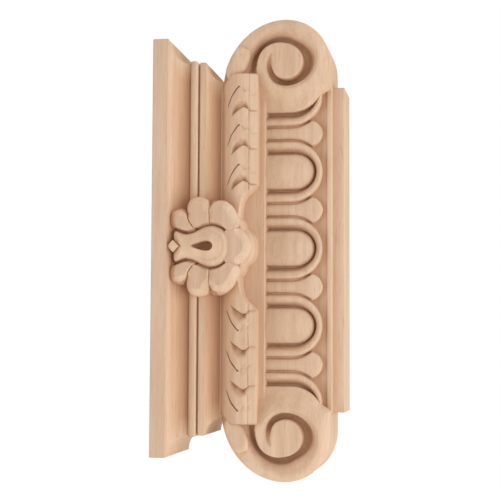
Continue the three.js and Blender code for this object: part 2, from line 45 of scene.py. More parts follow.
# Heights of the courses
HEIGHT = 122.0
NECK_TOP = 7.6
ASTRAGAL_TOP = 11.4
STRIP_BOTTOM = 51.5
GARLAND_BOTTOM = 55.3
GARLAND_TOP = 80.6
LISTEL_BOTTOM = 89.3
QUIRK_BOTTOM = 93.2
BEAD_BOTTOM = 94.4
BEAD_TOP = 99.6
FASCIA_BOTTOM = 112.0

# Half widths and depths of the courses, and how far the mouldings stand in from the abacus
NECK_HALF, NECK_DEPTH, ASTRAGAL_DEPTH = 107.5, 35.8, 40.0
FIELD_DEPTH, STRIP_DEPTH = 37.5, 45.0
ABACUS_HALF, ABACUS_DEPTH = 136.0, 72.7
CAVETTO_INSET, BEAD_OUT, LISTEL_INSET, LOWER_CAVETTO = 14.0, 1.4, 13.6, 11.0
QUIRK_SINK = 1.8
ARRIS, LISTEL_ARRIS, STRIP_ARRIS = 0.5, 0.3, 0.6
ASTRAGAL_ROUND, FIELD_FOOT, STRIP_SLOPE = 1.0, 6.0, 1.2
OVERLAP = 0.1

# Egg and dart, whose hidden tops end behind the garland
EGG_PITCH, EGG_RADIUS = 51.0, 11.8
EGG_CENTRE, EGG_BOTTOM = 31.7, 19.2
EGG_FRONT = FIELD_DEPTH + 5.6
SHELL_IN, SHELL_OUT = 13.2, 20.3
SHELL_CENTRE, SHELL_NARROWING = 34.3, 2.3
HALF_SHELL_END = 1.62 * math.pi
DART_FRONT = FIELD_DEPTH + 5.0
DART_ROOM, DART_FLARE, DART_FOOT = 1.2, 0.63, 2.3
HIDDEN_TOP = 59.9

# Volutes
EYE_X, EYE_Z, VOLUTE_DEPTH = 124.17, 36.9, 51.0
VOLUTE_RADIUS, SHOULDER_GROWTH, FOOT_GROWTH = 27.8, 17.2, 1.1
SHOULDER_ANGLE, TIGHTEST_ANGLE, FOOT_ANGLE = 107, -40, -95
FLANK_ANGLE, FLANK_SPREAD, FLANK_FALL, RIM_FALL = 168, 48, 7.2, 0.9
BUD_CENTRE, BUD_TILT = (123.6, 68.6), -24

# Rosette
TULIP_TOP, TULIP_HEIGHT, TULIP_FRONT = 107.4, 36.5, 68.9
TULIP_FOOT = TULIP_TOP - TULIP_HEIGHT
ROSETTE_CENTRE = 86.0
FACET_WIDTH, FACET_SLOPE = 4.4, 0.7

# Where the carved forms end inside the block
CARVED_BACK, SHELL_BACK, ROSETTE_BACK = 20.0, 25.0, 44.0


def table(pairs):
    """A smooth curve through (place, value) pairs, sorted by place."""
    xs, ys = np.array(sorted(pairs), float).T
    slopes = np.gradient(ys, xs)

    def value(x):
        x = np.clip(np.asarray(x, float), xs[0], xs[-1])
        k = np.clip(np.searchsorted(xs, x, side="right") - 1, 0, len(xs) - 2)
        h = xs[k + 1] - xs[k]
        t = (x - xs[k]) / h
        a, b = ys[k], ys[k + 1]
        ma, mb = slopes[k] * h, slopes[k + 1] * h
        return ((2 * t**3 - 3 * t**2 + 1) * a + (t**3 - 2 * t**2 + t) * ma
                + (3 * t**2 - 2 * t**3) * b + (t**3 - t**2) * mb)

    return value


def smooth(t):
    """From 0 to 1 as t does, level at both ends."""
    t = np.clip(t, 0, 1)
    return t * t * (3 - 2 * t)


def resample(points, step):
    """Points along a closed outline, about a step apart, its corners kept."""
    points = np.asarray(points, float)
    out = []
    for a, b in zip(points, np.roll(points, -1, axis=0)):
        n = max(1, int(round(np.linalg.norm(b - a) / step)))
        out += [a + (b - a) * i / n for i in range(n)]
    return np.array(out)


def rounded(corners, count=72):
    """A smooth closed outline through its corners, evenly stepped."""
    corners = np.array(corners, float)
    wrapped = np.vstack([corners[-2:], corners, corners[:3]])
    t = np.r_[0, np.cumsum(np.linalg.norm(np.diff(wrapped, axis=0), axis=1))]
    along = np.linspace(t[2], t[2 + len(corners)], count + 1)[:-1]
    return np.c_[table(list(zip(t, wrapped[:, 0])))(along), table(list(zip(t, wrapped[:, 1])))(along)]


def distance(points, places):
    """From each point to the nearest of the places."""
    return np.linalg.norm(np.asarray(points)[:, None] - np.asarray(places)[None], axis=2).min(axis=1)


# Closed meshes and their joining

WELD = 2e-7


def mesh_object(name, points, faces):
    x, z, depth = np.asarray(points, float).T
    mesh = bpy.data.meshes.new(name)
    places = np.stack([x, -depth, z - HEIGHT / 2], 1) / 1000
    mesh.from_pydata(places.tolist(), [], faces)
    welded = bmesh.new()
    welded.from_mesh(mesh)
    bmesh.ops.remove_doubles(welded, verts=welded.verts, dist=WELD)
    bmesh.ops.triangulate(welded, faces=welded.faces)
    bmesh.ops.recalc_face_normals(welded, faces=welded.faces)
    welded.to_mesh(mesh)
    welded.free()
    piece = bpy.data.objects.new(name, mesh)
    bpy.context.scene.collection.objects.link(piece)
    return piece


def loft(name, rings, middle=None):
    """A skin over rings of as many points each, capped, at the last round a middle if given."""
    rings = np.asarray(rings, float)
    n, m, _ = rings.shape
    points = rings.reshape(-1, 3)
    faces = [tuple(range(m - 1, -1, -1))]
    for r in range(n - 1):
        for i in range(m):
            j = (i + 1) % m
            faces.append((r * m + i, r * m + j, (r + 1) * m + j, (r + 1) * m + i))
    last = (n - 1) * m
    if middle is None:
        faces.append(tuple(range(last, last + m)))
    else:
        points = np.vstack([points, middle])
        faces += [(last + i, last + (i + 1) % m, last + m) for i in range(m)]
    return mesh_object(name, points, faces)


def mirrored(piece):
    """A copy on the other side of the capital's middle."""
    twin = piece.copy()
    twin.data = piece.data.copy()
    twin.data.transform(Matrix.Scale(-1, 4, (1, 0, 0)))
    twin.data.flip_normals()
    bpy.context.scene.collection.objects.link(twin)
    return twin


def both(piece):
    return [piece, mirrored(piece)]


def combine(base, others, operation):
    """Joins the others to the base or cuts it with them. They are used up."""
    for other in others:
        step = base.modifiers.new("step", "BOOLEAN")
        step.operation = operation
        step.solver = "MANIFOLD"
        step.object = other
    bpy.context.view_layer.update()
    seen = base.evaluated_get(bpy.context.evaluated_depsgraph_get())
    result = bpy.data.meshes.new_from_object(seen)
    base.modifiers.clear()
    base.data = result
    for other in others:
        bpy.data.objects.remove(other)
    return base


def join(pieces):
    return combine(pieces[0], pieces[1:], "UNION")


def cut(piece, cutters):
    return combine(piece, cutters, "DIFFERENCE")


def carved(name, outline, spine, front, edge, drop, dome, back=CARVED_BACK, turns=6, inner=6):
    """An upright form with an edge that rounds off and drops from its front, which swells into a
    dome towards its spine. The spine is an upright line (x, low, high) inside the outline."""
    outline = np.asarray(outline, float)
    x, low, high = spine
    near = np.stack([np.full(len(outline), x), np.clip(outline[:, 1], low, high)], 1)
    away = outline - near
    reach = np.linalg.norm(away, axis=1, keepdims=True)
    edge = np.minimum(np.reshape(edge, (-1, 1)), 0.85 * reach)
    rings = [np.c_[outline, np.full(len(outline), back)]]
    for turn in np.linspace(0, math.pi / 2, turns + 1):
        flat = near + away * (1 - edge * (1 - math.cos(turn)) / reach)
        rings.append(np.c_[flat, np.full(len(outline), front - drop * (1 - math.sin(turn)))])
    rim = near + away * (1 - edge / reach)
    for t in np.linspace(0, 1, inner + 1)[1:]:
        share = 1 - 0.97 * t
        flat = near + (rim - near) * share
        rings.append(np.c_[flat, np.full(len(outline), front + dome * (1 - share * share))])
    return loft(name, rings, (x, (low + high) / 2, front + dome))


# Abacus, mouldings returned along both ends

def abacus():
    profile = [(ARRIS, HEIGHT), (0, HEIGHT - ARRIS), (0, FASCIA_BOTTOM)]
    fall = FASCIA_BOTTOM - BEAD_TOP
    for turn in np.linspace(0, math.pi / 2, 25)[1:]:
        profile.append((CAVETTO_INSET * math.sin(turn), FASCIA_BOTTOM - fall * (1 - math.cos(turn))))
    half = (BEAD_TOP - BEAD_BOTTOM) / 2
    for turn in np.linspace(0.25, math.pi - 0.2, 13):
        profile.append((CAVETTO_INSET - BEAD_OUT * math.sin(turn) ** 0.7,
                        BEAD_BOTTOM + half + half * math.cos(turn)))
    quirk = LISTEL_INSET + QUIRK_SINK
    profile += [(quirk, BEAD_BOTTOM - OVERLAP), (quirk, QUIRK_BOTTOM + OVERLAP)]
    profile += [(LISTEL_INSET + LISTEL_ARRIS, QUIRK_BOTTOM), (LISTEL_INSET, QUIRK_BOTTOM - LISTEL_ARRIS)]
    profile.append((LISTEL_INSET, LISTEL_BOTTOM))
    for turn in np.linspace(0, math.pi / 2, 17)[1:]:
        profile.append((LISTEL_INSET + LOWER_CAVETTO * math.sin(turn),
                        LISTEL_BOTTOM - LOWER_CAVETTO * (1 - math.cos(turn))))
    profile.append((ABACUS_DEPTH - STRIP_DEPTH, GARLAND_BOTTOM))
    rings = []
    for inset, z in profile:
        h, d = ABACUS_HALF - inset, ABACUS_DEPTH - inset
        side = np.linspace(0, 1, 7)[:-1]
        ring = [(-h, z, d * t) for t in side] + [(h * t, z, d) for t in np.linspace(-1, 1, 49)]
        rings.append(ring + [(h, z, d * (1 - t)) for t in side[1:]] + [(h, z, 0)])
    return loft("abacus", rings)


# Neck, astragal, field and strip, one profile along the front

def neck():
    profile = [(0, 0), (NECK_DEPTH - ARRIS, 0), (NECK_DEPTH, ARRIS), (NECK_DEPTH, NECK_TOP)]
    centre = ASTRAGAL_DEPTH - ASTRAGAL_ROUND
    for low, start in ((NECK_TOP + ASTRAGAL_ROUND, -math.pi / 2), (ASTRAGAL_TOP - ASTRAGAL_ROUND, 0)):
        for turn in np.linspace(start, start + math.pi / 2, 7):
            profile.append((centre + ASTRAGAL_ROUND * math.cos(turn), low + ASTRAGAL_ROUND * math.sin(turn)))
    for t in np.linspace(0, 1, 9)[1:]:
        profile.append((FIELD_DEPTH + (centre - FIELD_DEPTH) * (1 - t) ** 1.2, ASTRAGAL_TOP + FIELD_FOOT * t))
    profile += [(FIELD_DEPTH, STRIP_BOTTOM - STRIP_SLOPE), (STRIP_DEPTH - STRIP_ARRIS, STRIP_BOTTOM)]
    profile.append((STRIP_DEPTH, STRIP_BOTTOM + STRIP_ARRIS))
    profile += [(STRIP_DEPTH, GARLAND_BOTTOM + OVERLAP), (0, GARLAND_BOTTOM + OVERLAP)]
    lengths = np.linspace(-NECK_HALF, NECK_HALF, 44)
    return loft("neck", [[(x, z, d) for d, z in profile] for x in lengths])


# Egg and dart

def egg(x):
    turns = np.linspace(math.pi, 2 * math.pi, 41)
    low = EGG_CENTRE - EGG_BOTTOM
    outline = [(x + EGG_RADIUS * math.cos(t), EGG_CENTRE + low * math.sin(t)) for t in turns]
    sides = np.linspace(EGG_CENTRE, HIDDEN_TOP, 8)[1:]
    outline += [(x + EGG_RADIUS, z) for z in sides]
    outline += [(x - EGG_RADIUS, z) for z in sides[::-1]]
    spine = (x, EGG_CENTRE, HIDDEN_TOP - 1)
    return carved("egg", outline, spine, EGG_FRONT, edge=2.6, drop=3.4, dome=1.5, inner=8)


# A shell's rise across its width, from the egg's groove to its outer edge
shell_rise = table([(0, 0.9), (0.12, 2.2), (0.24, 3.9), (0.36, 5.4), (0.48, 6.4), (0.62, 6.8), (0.85, 6.5),
                    (0.95, 5.3), (1, 3.2)])


def shell(x, end=2 * math.pi):
    """A shell down the left of its egg, round below it and, if it goes on to there, up the right."""
    s = np.linspace(0, 1, 17)
    rise = FIELD_DEPTH + shell_rise(s)

    def section(turn):
        inner = SHELL_IN + SHELL_NARROWING * math.sin(turn) ** 2
        radii = inner + (SHELL_OUT - inner) * s
        return [(inner, SHELL_BACK)] + list(zip(radii, rise)) + [(SHELL_OUT, SHELL_BACK)]

    rings = []
    for z in np.linspace(HIDDEN_TOP, SHELL_CENTRE, 4)[:-1]:
        rings.append([(x - r, z, d) for r, d in section(0)])
    for turn in np.linspace(math.pi, end, 61):
        cos, sin = math.cos(turn), math.sin(turn)
        rings.append([(x + r * cos, SHELL_CENTRE + r * sin, d) for r, d in section(turn)])
    if end == 2 * math.pi:
        for z in np.linspace(SHELL_CENTRE, HIDDEN_TOP, 4)[1:]:
            rings.append([(x + r, z, d) for r, d in section(0)])
    return loft("shell", rings)


# Rise over the field of the groove beside a dart, by height over the shells' centres
GROOVE_LEVELS = [-14, -10, -7, 0]
GROOVE_RISES = [-0.5, 1.8, 2.9, 3.2]


def groove(x):
    """The shallow groove between two shells, in which a dart stands."""
    rings = []
    for z in np.linspace(SHELL_CENTRE + GROOVE_LEVELS[0], HIDDEN_TOP, 24):
        below = max(0.0, SHELL_CENTRE - z)
        half = EGG_PITCH / 2 - math.sqrt((SHELL_OUT - 1) ** 2 - below**2)
        depth = FIELD_DEPTH + float(np.interp(z - SHELL_CENTRE, GROOVE_LEVELS, GROOVE_RISES))
        rings.append([(x - half, z, CARVED_BACK), (x - half, z, depth),
                      (x + half, z, depth), (x + half, z, CARVED_BACK)])
    return loft("groove", rings)


def dart(x):
    """A dart: it follows the shells at both sides down to its widest, then rounds off to its tip."""
    reach = SHELL_OUT + DART_ROOM
    flare = DART_FLARE * reach
    tip = ASTRAGAL_TOP + DART_FOOT
    half = [(EGG_PITCH / 2 - reach, z) for z in (HIDDEN_TOP, 54, 48, SHELL_CENTRE + 6)]
    for t in np.linspace(0, 1, 17):
        half.append((EGG_PITCH / 2 - math.sqrt(reach**2 - (t * flare) ** 2), SHELL_CENTRE - t * flare))
    wide, low = half[-1]
    bend = (0.78 * wide, tip + 0.14 * (low - tip))
    for t in np.linspace(0, 1, 12)[1:]:
        u = 1 - t
        half.append((u * u * wide + 2 * u * t * bend[0], u * u * low + 2 * u * t * bend[1] + t * t * tip))
    right = np.array(half)
    left = right[::-1][1:] * (-1, 1)
    outline = np.vstack([right, left]) + (x, 0)
    spine = (x, low, HIDDEN_TOP - 1)
    front = carved("dart", outline, spine, DART_FRONT, edge=1.2, drop=2.4, dome=0.5, turns=5, inner=5)
    return join([front, groove(x)])


# Volutes; angles about the eye are in degrees, counted from +X towards the top

def outline_radius(angle):
    """The outline's reach from the eye, growing to the shoulder and a little to the foot."""
    above = np.maximum(0, angle - TIGHTEST_ANGLE) / (SHOULDER_ANGLE - TIGHTEST_ANGLE)
    below = np.maximum(0, TIGHTEST_ANGLE - angle) / (TIGHTEST_ANGLE - FOOT_ANGLE)
    return VOLUTE_RADIUS + SHOULDER_GROWTH * above**3 + FOOT_GROWTH * below**2


def about_eye(radius, angle):
    a = np.radians(angle)
    return EYE_X + radius * np.cos(a), EYE_Z + radius * np.sin(a)


def volute_outline():
    """Round the outside, then back along the middle of the half shell beside the volute."""
    last = 2 * EGG_PITCH
    middle = 11.5
    points = [about_eye(outline_radius(a), a) for a in np.linspace(FOOT_ANGLE, SHOULDER_ANGLE, 95)]
    edge = [(last, GARLAND_TOP - 2), (last - middle, GARLAND_BOTTOM + 4)]
    for t in np.linspace(0, 1, 25):
        radius = middle + (SHELL_OUT - 12.3) * t**2.2
        turn = math.pi * (1 + t / 2)
        edge.append((last + radius * math.cos(turn), SHELL_CENTRE + radius * math.sin(turn)))
    edge.append((last + 4, EYE_Z - 28.9))
    rest = resample([points[-1]] + edge + [points[0]], 1.5)
    stop = int(np.argmin(np.linalg.norm(rest - np.array(points[0]), axis=1)))
    return np.array(points[:-1] + [tuple(p) for p in rest[:stop]])


def volute_face(x, z):
    """Depth of the volute's uncut front: its flank falls towards the half shell and the strip."""
    dx, dz = x - EYE_X, z - EYE_Z
    radius = np.hypot(dx, dz)
    turn = np.degrees(np.arctan2(dz, dx)) % 360
    flank = FLANK_FALL * np.exp(-((turn - FLANK_ANGLE) / FLANK_SPREAD) ** 2)
    return VOLUTE_DEPTH - flank * smooth((radius - 15.0) / 20) - RIM_FALL * smooth((radius - 20) / 10)


def volute_body():
    """The edge is sharp beside the half shell and softly rounded on the underside."""
    outline = volute_outline()
    away = outline - (EYE_X, EYE_Z)
    reach = np.linalg.norm(away, axis=1, keepdims=True)
    away = away / reach
    reach = reach[:, 0]
    turn = np.degrees(np.arctan2(away[:, 1], away[:, 0])) % 360
    by_shell = np.exp(-((turn - 180) / 32) ** 4)
    underside = np.exp(-((turn - 268) / 34) ** 2)
    edge = 4.2 - 2.8 * by_shell + 5.0 * underside
    rings = [np.c_[outline, np.zeros(len(outline))]]

    def ring(inset, sink):
        flat = (EYE_X, EYE_Z) + away * (reach - inset)[:, None]
        rings.append(np.c_[flat, volute_face(flat[:, 0], flat[:, 1]) - sink])

    for bend in np.linspace(0, math.pi / 2, 11):
        ring(edge * (1 - math.cos(bend)), edge * (1 - math.sin(bend)))
    for t in np.linspace(0, 1, 17)[1:-1]:
        ring(edge + (reach - edge) * t, 0 * reach)
    return loft("volute", rings, (EYE_X, EYE_Z, VOLUTE_DEPTH))


# The scroll by how far it has turned from under the garland: inner wall, end of its dark floor, rim,
# depth of the floor and of the shelf beyond it
SCROLL_START, SCROLL_TURN, SCROLL_LEVEL = 140, 436, 100
scroll_wall = table([(38, 20.6), (53, 19.3), (74, 17.7), (98, 15.2), (117, 13.3), (130, 12.2), (150, 11.3),
                     (173, 10.8), (200, 10.7), (234, 10.9), (260, 11.3), (278, 11.7), (300, 12.1),
                     (320, 12.2), (340, 12.2), (356, 12.0), (370, 11.4), (385, 10.7), (410, 10.2),
                     (436, 10.2)])
scroll_floor = table([(0, 24.8), (45, 24.2), (69, 22.0), (89, 20.4), (109, 18.8), (126, 17.7), (143, 16.5),
                      (163, 15.3), (182, 15.5), (200, 16.3), (226, 17.5), (250, 17.6), (284, 16.9),
                      (303, 16.7), (337, 16.7), (352, 16.5), (368, 15.7), (387, 14.3), (436, 11.4)])
scroll_rim = table([(0, 30), (40, 29), (60, 28), (75, 27.2), (105, 25.6), (140, 24.6), (170, 23.6),
                    (200, 22.8), (228, 22.0), (253, 21.4), (278, 20.8), (300, 20.2), (320, 19.6),
                    (340, 19.3), (360, 18.9), (392, 17.2), (415, 15.2), (436, 13.0)])
scroll_depth = table([(0, 4.5), (30, 6), (50, 10), (75, 12), (140, 12), (165, 11), (200, 9.5), (230, 9.5),
                      (260, 10), (290, 10.5), (345, 10), (370, 7.5), (400, 3.5), (436, 0.4)])
scroll_shelf = table([(0, 3.8), (40, 4.4), (75, 5.0), (140, 4.8), (170, 4.8), (200, 5.2), (230, 5.2),
                      (260, 4.0), (290, 2.6), (345, 1.8), (370, 1.8), (400, 1.6), (436, 0.3)])


def scroll_section(turned):
    """The cut's section as (radius, depth) points, straight and level where the garland covers it."""
    angle = SCROLL_START - turned
    wall, floor, rim = scroll_wall(turned), scroll_floor(turned), scroll_rim(turned)
    if angle > SCROLL_LEVEL:
        level = 1 / math.sin(math.radians(angle))
        wall, floor, rim = 20.5 * level, 24.3 * level, 29.0 * level
    deep, shelf = scroll_depth(turned), scroll_shelf(turned)
    lip = min(1.1, 0.35 * deep)
    width = floor - wall
    section = [(wall - 1.2 * lip, -0.25), (wall - 0.6 * lip, 0.12 * lip), (wall - 0.2 * lip, 0.5 * lip),
               (wall, 1.1 * lip), (wall + 0.08 * width, 0.75 * deep), (wall + 0.2 * width, 0.95 * deep),
               (wall + 0.45 * width, deep), (wall + 0.68 * width, 0.93 * deep)]
    for t in np.linspace(0, 1, 5)[:-1]:
        down = 0.85 * deep + (shelf - 0.85 * deep) * smooth(t)
        section.append((wall + (0.78 + 0.22 * t) * width, down))
    for t in np.linspace(0, 1, 9):
        section.append((floor + (rim - floor) * t, shelf * (1 - t) ** 1.5 - 0.25 * t))
    return section + [(rim, -3), (wall - 1.2 * lip, -3)]


def scroll_cutter():
    rings = []
    for turned in np.linspace(0, SCROLL_TURN, 219):
        ring = []
        for radius, down in scroll_section(turned):
            x, z = about_eye(radius, SCROLL_START - turned)
            ring.append((x, z, volute_face(x, z) - down))
        rings.append(ring)
    return loft("scroll", rings)


def bud():
    """A low leaf with a blunt tip on the volute's shoulder."""
    corners = [(-13.5, 1.5), (-9, 5.6), (-3, 6.4), (4, 6.2), (8.4, 5.0), (10.2, 2.8), (10.6, 0),
               (10.2, -2.8), (7.2, -5.0), (1, -6.2), (-6, -6.0), (-11, -3.6)]
    tilt = math.radians(BUD_TILT)
    turned = [(px * math.cos(tilt) - pz * math.sin(tilt), px * math.sin(tilt) + pz * math.cos(tilt))
              for px, pz in corners]
    centre = np.array(BUD_CENTRE)
    outline = rounded([(centre[0] + px, centre[1] + pz) for px, pz in turned], 60)
    away = outline - centre
    reach = np.linalg.norm(away, axis=1)
    rings = [np.c_[outline, np.full(len(outline), VOLUTE_DEPTH - 8)]]
    for inset, up in [(0, -0.4), (0.15, 1.0), (0.5, 2.2), (1.1, 3.0), (2.1, 3.4), (3.6, 3.6), (5.2, 3.6)]:
        flat = centre + away * (1 - np.minimum(inset, 0.9 * reach) / reach)[:, None]
        fold = 0.5 * np.exp(-((flat[:, 0] - 128.6 + 0.25 * (flat[:, 1] - 68)) / 0.9) ** 2)
        slope = 0.05 * (flat[:, 0] - centre[0])
        rings.append(np.c_[flat, VOLUTE_DEPTH - RIM_FALL + up - (fold + slope) * (up > 1)])
    return loft("bud", rings, (*centre, VOLUTE_DEPTH + 2.7))


def volutes():
    body = cut(volute_body(), [scroll_cutter()])
    return join(both(join([body, bud()])))


# Garland: a half round bar of overlapping leaves whose edges sweep outwards and down. Its tables go
# by height on a bar that ends at LEAF_TOP, which is stretched to the garland's own top.

LEAF_TOP = 79.6
END_X = 115.3
LEAF_EDGES = [43.3, 66.8, 92.1]
LEAF_CUTS = [54.4, 80.6, 106.2]
MIDRIB = 60.9
LEAF_HOLLOW, LEAF_POOL, LEAF_RAISE = 5.0, 0.7, 0.8
CUT_DEPTH, FOLD_DEPTH, RIB_DEPTH = 1.9, 1.2, 0.45
VEIN_DEPTH, VEIN_PITCH = 0.22, 2.6
cut_lean = table([(55.3, -5.5), (60.2, -5.3), (61.4, -3.4), (64.4, -3.9), (66.5, 0), (69, -2.4), (71.6, -6),
                  (74.7, -12.9), (LEAF_TOP, -21)])
edge_lean = table([(55.3, -2.2), (60.8, -2.0), (63.0, 0), (67.0, -2.0), (70.0, -4.3), (74, -8.8),
                   (LEAF_TOP, -15)])
# Depth of the bar by height
garland_depth = table([(55.5, 50.0), (55.9, 53.2), (56.4, 53.9), (58.5, 55.0), (60.9, 55.9), (63, 56.8),
                       (65.5, 57.2), (68, 57.0), (71, 55.8), (74, 53.6), (77, 50.6), (LEAF_TOP, 47.2)])
# Heights of the bar's points, closest where the leaves are cut
GARLAND_ROWS = [55.5, 55.7, 55.9, 56.15, 56.4, 57, 57.6, 58.3, 59, 59.6, 60.1, 60.4, 60.65, 60.9, 61.15,
                61.4, 61.8, 62.3, 62.8, 63.3, 63.8, 64.3, 64.8, 65.3, 65.7, 66.1, 66.5, 67, 67.5, 68, 68.5,
                69, 69.6, 70.2, 70.8, 71.4, 72, 72.7, 73.4, 74.1, 74.8, 75.6, 76.5, 77.5, 78.6, LEAF_TOP]


def garland_lean(station, z):
    """How far left of its outermost place a line of the leaves lies at a height."""
    marks = [(0.0, "none")] + sorted([(x, "edge") for x in LEAF_EDGES] + [(x, "cut") for x in LEAF_CUTS])
    marks.append((END_X, "none"))
    lean = {"none": lambda h: 0 * h, "edge": edge_lean, "cut": cut_lean}
    for (a, kind_a), (b, kind_b) in zip(marks, marks[1:]):
        if station <= b:
            t = (station - a) / (b - a)
            return (1 - t) * lean[kind_a](z) + t * lean[kind_b](z)
    return 0 * z


def garland_lift(station, z):
    """How far the leaves stand off the bar."""
    leaf = smooth((z - MIDRIB) / 0.6)
    high = 1 - smooth((z - 68.5) / 4.0)
    lift = np.zeros_like(z)
    for place in LEAF_EDGES:
        past = station - place
        if 0 < past <= 11:
            sharp = min(1, past / 0.6)
            hollow = LEAF_HOLLOW * (1 - smooth(past / 7.5)) * smooth((z - MIDRIB - 0.3) / 2.4) * high
            pool = LEAF_POOL * (1 - smooth(past / 9.5)) * leaf * (1 - smooth((z - 62.5) / 3.0))
            notch = (0.5 * max(0.0, 1 - past / 1.1) + 0.9 * (1 - smooth(past / 4))) * (1 - leaf)
            lift -= sharp * (hollow * 0.85 + pool + notch)
        if -8 < past <= 0:
            lift += LEAF_RAISE * leaf * high * smooth(1 + past / 8)
    for place in LEAF_CUTS:
        past = station - place
        upper = smooth((z - 66.0) / 1.0) * (1 - smooth((z - 73.2) / 2.2))
        lift -= CUT_DEPTH * upper * max(0.0, 1 - abs(past) / 0.6)
        if past > 0:
            fold = FOLD_DEPTH * (1 - smooth(past / 4.5)) * leaf * (1 - smooth((z - 64.8) / 1.8))
            notch = (0.3 * max(0.0, 1 - past / 1.0) + 0.8 * (1 - smooth(past / 4))) * (1 - leaf)
            lift -= min(1, past / 1.2) * (fold + notch)
    rib = np.exp(-((z - MIDRIB) / 0.4) ** 2)
    veined = smooth((z - 67.5) / 3) * (1 - smooth((z - 77) / 2))
    veins = (0.5 + 0.5 * math.cos(2 * math.pi * station / VEIN_PITCH)) * veined
    lift -= RIB_DEPTH * rib * smooth((station - 30) / 8)
    return lift - VEIN_DEPTH * veins * smooth((station - 34) / 6)


def garland_half():
    z = np.array(GARLAND_ROWS)
    tall, made = GARLAND_TOP - GARLAND_BOTTOM, LEAF_TOP - GARLAND_BOTTOM
    risen = GARLAND_BOTTOM + (z - GARLAND_BOTTOM) * tall / made
    bed = ABACUS_DEPTH - LISTEL_INSET - LOWER_CAVETTO
    fine = set(np.arange(0, END_X, 0.65).round(3))
    for place in LEAF_EDGES:
        fine |= {round(place + s, 3) for s in (-0.4, 0, 0.2, 0.4, 0.8)}
    for place in LEAF_CUTS:
        fine |= {round(place + s, 3) for s in (-0.6, -0.3, 0, 0.2, 0.4, 0.6)}
    rings = []
    for station in sorted(fine) + [END_X - 0.4, END_X]:
        x = station + garland_lean(station, z)
        if station > 103:
            x = x - smooth((z - 70.5) / 9) * 6.5 * smooth((station - 103) / (END_X - 103))
        pinch = 0.6 if station == END_X else 0.0
        depth = garland_depth(z) + garland_lift(station, z) * smooth((LEAF_TOP - z) / 3) - pinch
        ring = list(zip(x, risen, depth))
        rings.append(ring + [(x[-1], risen[-1], bed - 6), (x[0], risen[0], bed - 6)])
    return loft("garland", rings)


def field_cutter():
    """The plain field beside the rosette, under the first leaf."""
    low = GARLAND_BOTTOM - 0.2
    sweep = [(41.8, low), (40.3, 56.3), (38.6, 57.7), (36.9, 59.3), (35.3, 61.3), (33.6, 62.9), (31.4, 64.1),
             (29, 64.8), (25, 65.6), (16, 66)]
    outline = resample([(-2.0, low)] + sweep + [(-2.0, 66)], 1.2)
    centre = np.array([14.0, 60.0])
    floor = 44.4
    away = outline - centre
    reach = np.linalg.norm(away, axis=1, keepdims=True)
    rings = []
    for grow, depth in [(3.4, 58.2), (2.0, 56.6), (0.8, 54.5), (0.3, 52), (0, 48), (0, floor)]:
        flat = centre + away * (1 + grow / reach)
        flat[:, 1] = np.maximum(flat[:, 1], low)
        rings.append(np.c_[flat, np.full(len(flat), depth)])
    return loft("field", rings, (*centre, floor))


# Rosette: a tulip in a wreath of seven flat petals with sloping facets, on a scalloped plate.
# Outlines on the right, or of a petal that stands in the middle

UPPER = [(8, 108), (12.5, 110.3), (18, 110.9), (22.6, 109.6), (24.5, 106), (24.6, 102.2), (22.2, 99.9),
         (18, 98.9), (13.4, 96.2), (9.5, 92.5), (7.5, 97), (7.2, 103)]
MIDDLE = [(9.5, 93.8), (13.4, 96.4), (17.4, 98.9), (21.8, 100.1), (26.4, 99.8), (30.6, 97.6), (32.4, 93.8),
          (32.2, 89.8), (30.4, 86.6), (27, 85.2), (21, 84.9), (14, 84.9), (9.5, 86)]
LOWER = [(10, 84.8), (18, 85.2), (25, 85.2), (28.2, 83.4), (29.8, 79.5), (29.6, 74.8), (26.6, 70.9),
         (21.9, 68), (17, 65.5), (13.4, 65.6), (10.5, 69.5), (7.5, 74.5), (8, 80)]
BOTTOM = [(-12.4, 71.5), (-12.2, 67), (-9.4, 62.6), (-5, 59.3), (0, 58.2), (5, 59.3), (9.4, 62.6), (12.2, 67),
          (12.4, 71.5), (8, 76), (0, 77), (-8, 76)]
PLATE = [(0, 88), (10, 88), (31.2, 84), (30.9, 79), (29.6, 74.6), (27.2, 71.4), (24.4, 69.9), (21.5, 68.6),
         (18.9, 66.2), (16.4, 64.0), (14.2, 63.4), (12.2, 62.9), (10.4, 60.9), (7.9, 58.4), (4.4, 56.9),
         (0, 56.5)]
TULIP = [(0, 106.4), (2.5, 107.7), (5, 108.4), (7.6, 108.5), (9.5, 108.1), (10.4, 107.4), (10.0, 105.4),
         (8.9, 102.6), (8.35, 99.6), (8.9, 96.4), (10.7, 92.4), (12.7, 88.4), (13.5, 84.4), (12.9, 80.2),
         (10.9, 76.1), (7.6, 72.9), (4, 71.3), (0, 71)]
tulip_half = table([(z, x) for x, z in TULIP[5:]])

# Each petal's outline, middle and depth
PETALS = [(UPPER, (15.6, 103.6), 70.0), (MIDDLE, (20.6, 92.3), 69.2), (LOWER, (18.6, 76.6), 68.0),
          (BOTTOM, (0, 67.6), 67.4)]
PETAL_RINGS = [1, 0.985, 0.97, 0.95, 0.925, 0.9, 0.86, 0.81, 0.76, 0.71, 0.66, 0.61, 0.56, 0.51, 0.45, 0.38,
               0.3, 0.2, 0.1]


